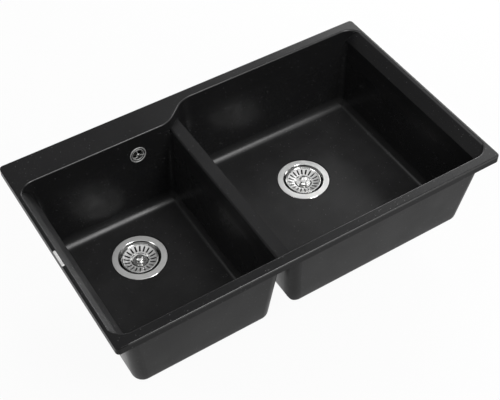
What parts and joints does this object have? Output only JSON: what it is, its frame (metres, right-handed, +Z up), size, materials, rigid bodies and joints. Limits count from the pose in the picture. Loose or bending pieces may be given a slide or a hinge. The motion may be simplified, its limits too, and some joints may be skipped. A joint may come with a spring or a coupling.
{
  "type": "double bowl kitchen sink",
  "caption": "Inset kitchen sink in black composite: a small and a large bowl, low divider, stepped tap ledge, basket strainer wastes and an overflow to the small bowl's waste.",
  "frame": {"origin": "centre of the sink on the worktop plane, which is the underside of the rim", "axes": "+X to the right along the long side, +Y to the tap ledge at the back, +Z up"},
  "size_m": [0.85, 0.5, 0.294],
  "materials": {
    "black_granite_composite": "matt moulded composite with fine mineral flecks",
    "polished_steel": "polished",
    "black_rubber": "smooth",
    "white_plastic": "moulded",
    "brass": "machined",
    "hose_plastic": "corrugated"
  },
  "bodies": {
    "sink": {"sink_basin": "black_granite_composite", "small_bowl_strainer_cup": "polished_steel", "small_bowl_flange_gasket": "black_rubber", "small_bowl_waste_gasket": "black_rubber", "small_bowl_waste_body": "white_plastic", "small_bowl_clamp_screw": "polished_steel", "small_bowl_clamp_nut": "brass", "large_bowl_strainer_cup": "polished_steel", "large_bowl_flange_gasket": "black_rubber", "large_bowl_waste_gasket": "black_rubber", "large_bowl_waste_body": "white_plastic", "large_bowl_clamp_screw": "polished_steel", "large_bowl_clamp_nut": "brass", "overflow_rosette": "polished_steel", "overflow_screw": "polished_steel", "overflow_gasket": "black_rubber", "overflow_elbow": "white_plastic", "overflow_hose": "hose_plastic", "overflow_upper_nut": "white_plastic", "overflow_upper_seal": "black_rubber", "overflow_lower_nut": "white_plastic", "overflow_lower_seal": "black_rubber"},
    "small_bowl_basket_group": {"small_bowl_basket": "polished_steel", "small_bowl_basket_knob": "polished_steel", "small_bowl_basket_stem": "white_plastic", "small_bowl_basket_seal": "black_rubber"},
    "large_bowl_basket_group": {"large_bowl_basket": "polished_steel", "large_bowl_basket_knob": "polished_steel", "large_bowl_basket_stem": "white_plastic", "large_bowl_basket_seal": "black_rubber"}
  },
  "joints": [
    {"name": "small_bowl_basket_lift", "type": "slide", "parent": "sink", "child": "small_bowl_basket_group", "axis": [0, 0, 1], "range_m": [0, 0.26]},
    {"name": "large_bowl_basket_lift", "type": "slide", "parent": "sink", "child": "large_bowl_basket_group", "axis": [0, 0, 1], "range_m": [0, 0.26]}
  ]
}
